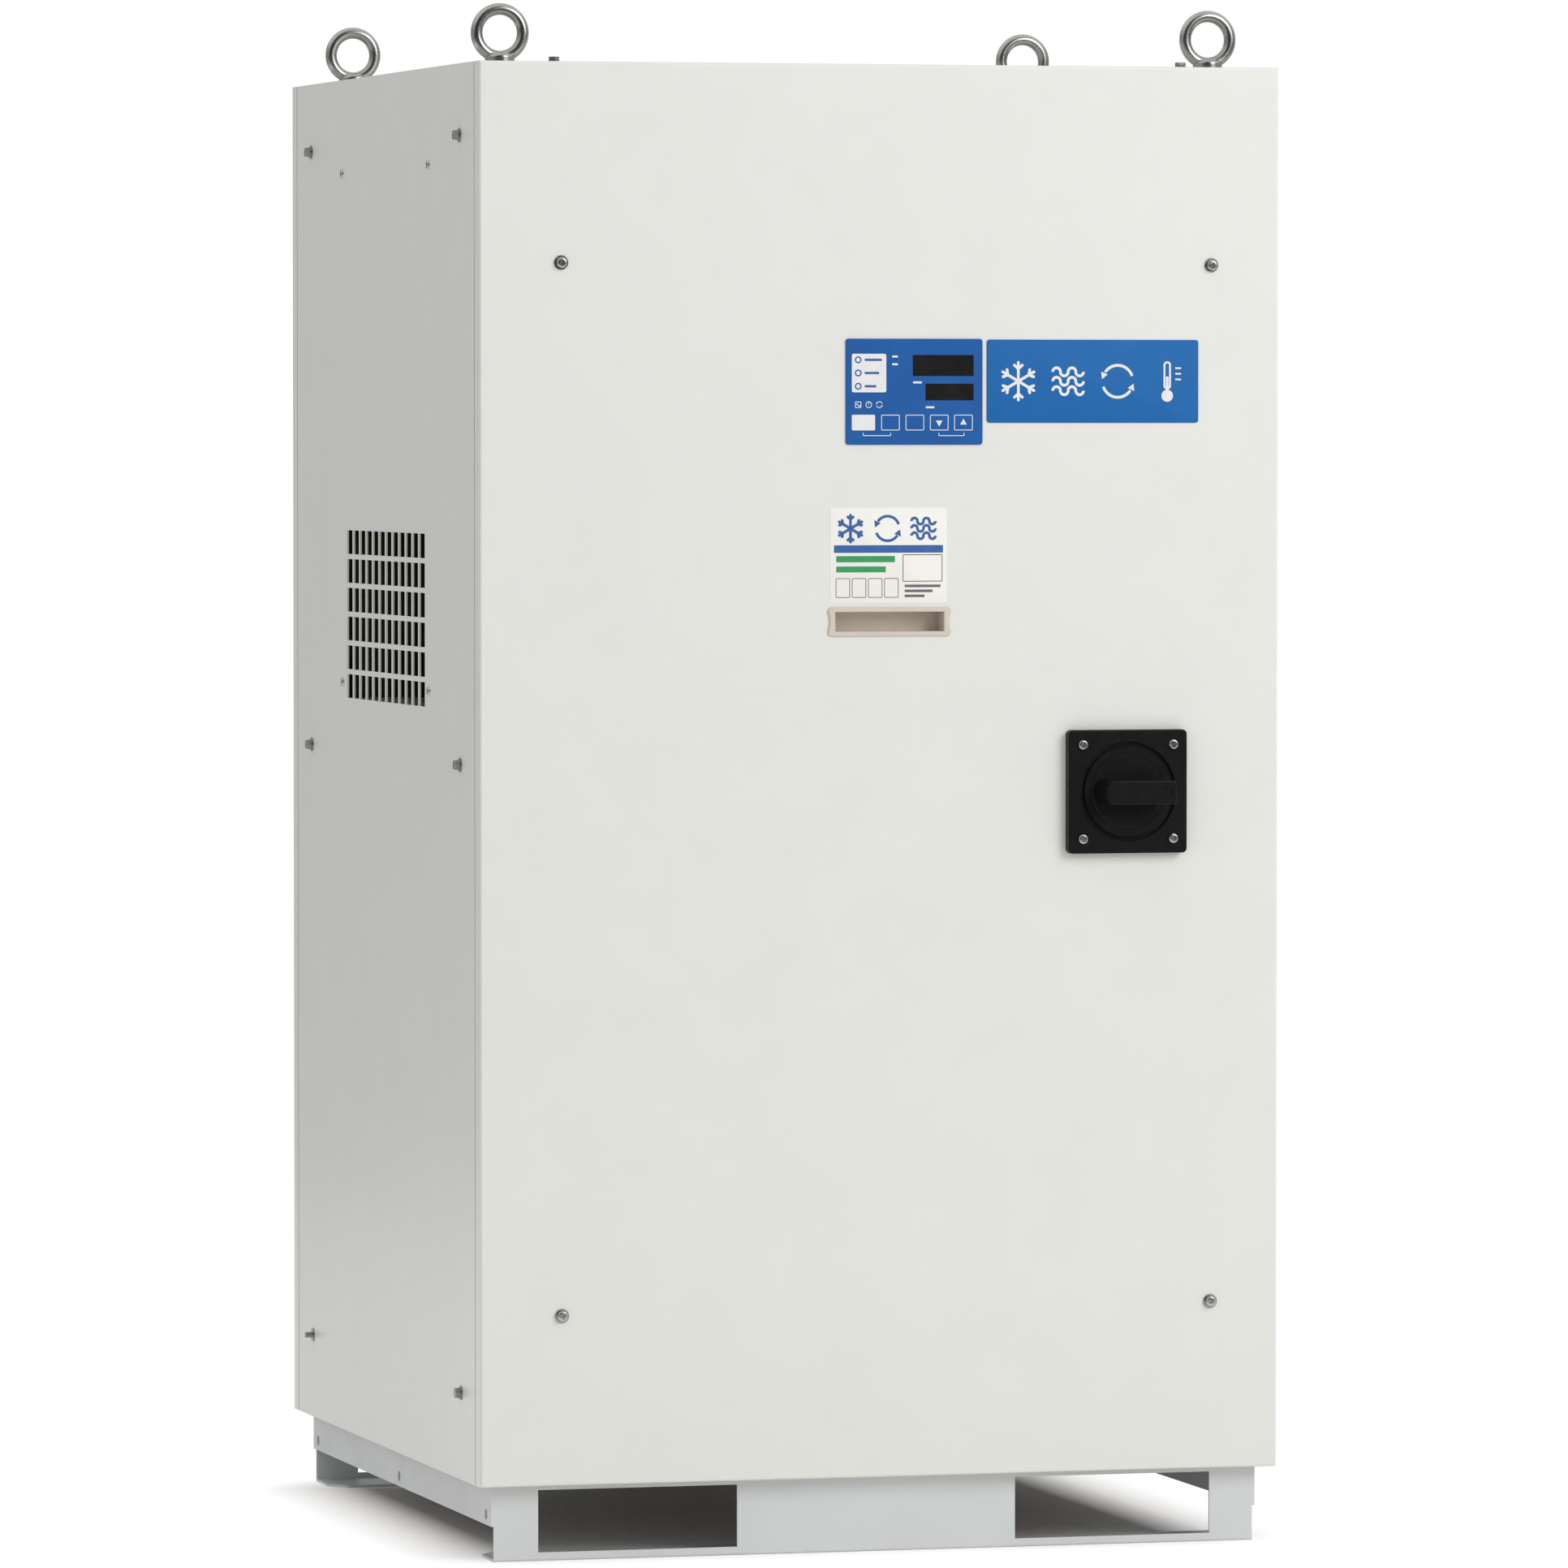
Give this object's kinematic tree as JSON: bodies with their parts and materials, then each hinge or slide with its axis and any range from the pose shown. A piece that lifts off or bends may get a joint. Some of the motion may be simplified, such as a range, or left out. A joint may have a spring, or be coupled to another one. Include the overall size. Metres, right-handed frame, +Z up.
{
  "type": "recirculating chiller",
  "caption": "Floor-standing water-cooled recirculating chiller cabinet with fork base, lifting eyes, side vents, control panel and a turning isolator switch.",
  "frame": {"origin": "on the floor, under the middle of the overall envelope at rest", "axes": "+Z up, +X to the right as seen from the front, +Y from the front panel to the rear panel"},
  "size_m": [0.715, 0.7958, 1.3113],
  "materials": {
    "cabinet_paint": "semi-gloss off-white powder coat",
    "base_paint": "satin blue-grey paint",
    "frame_steel": "zinc-plated sheet",
    "tray_steel": "plated drip tray",
    "duct_black": "matt black lining",
    "polished_steel": "polished stainless steel",
    "bolt_steel": "plated bolts",
    "switch_black": "moulded black plastic, fine texture",
    "grip_beige": "moulded beige plastic",
    "panel_blue": "blue membrane film",
    "display_black": "smoked display window",
    "port_steel": "turned stainless steel",
    "gland_grey": "moulded grey plastic",
    "machinery_grey": "plain grey"
  },
  "bodies": {
    "cabinet": {"base_front": "base_paint", "base_rail_left": "base_paint", "base_rail_right": "base_paint", "base_rear": "base_paint", "cable_gland": "gland_grey", "control_panel": "panel_blue", "display_lower": "display_black", "display_upper": "display_black", "eye_bolt_front_left": "polished_steel", "eye_bolt_front_right": "polished_steel", "eye_bolt_rear_left": "polished_steel", "eye_bolt_rear_right": "polished_steel", "floor_plate": "frame_steel", "front_panel": "cabinet_paint", "grip": "grip_beige", "left_panel": "cabinet_paint", "machinery_block": "machinery_grey", "panel_brackets_front": "frame_steel", "panel_brackets_rear": "frame_steel", "port_drain": "port_steel", "port_fluid_outlet": "port_steel", "port_fluid_return": "port_steel", "port_water_in": "port_steel", "port_water_out": "port_steel", "post_front_left": "frame_steel", "post_front_right": "frame_steel", "post_rear_left": "frame_steel", "post_rear_right": "frame_steel", "rear_panel": "cabinet_paint", "right_panel": "cabinet_paint", "side_bolts_left": "bolt_steel", "side_bolts_right": "bolt_steel", "switch_body": "switch_black", "switch_plate": "switch_black", "top_cross_front": "frame_steel", "top_cross_rear": "frame_steel", "top_panel": "cabinet_paint", "top_rail_left": "frame_steel", "top_rail_right": "frame_steel", "vent_duct_left": "duct_black", "vent_duct_right": "duct_black", "vent_tray_left": "tray_steel", "vent_tray_right": "tray_steel"},
    "switch_handle": {"switch_disc": "switch_black", "switch_lever": "switch_black"}
  },
  "joints": [
    {"name": "switch_turn", "type": "hinge", "parent": "cabinet", "child": "switch_handle", "pos_m": [0.2136, -0.3681, 0.6445], "axis": [0, -1, 0], "range_deg": [0, 90]}
  ]
}
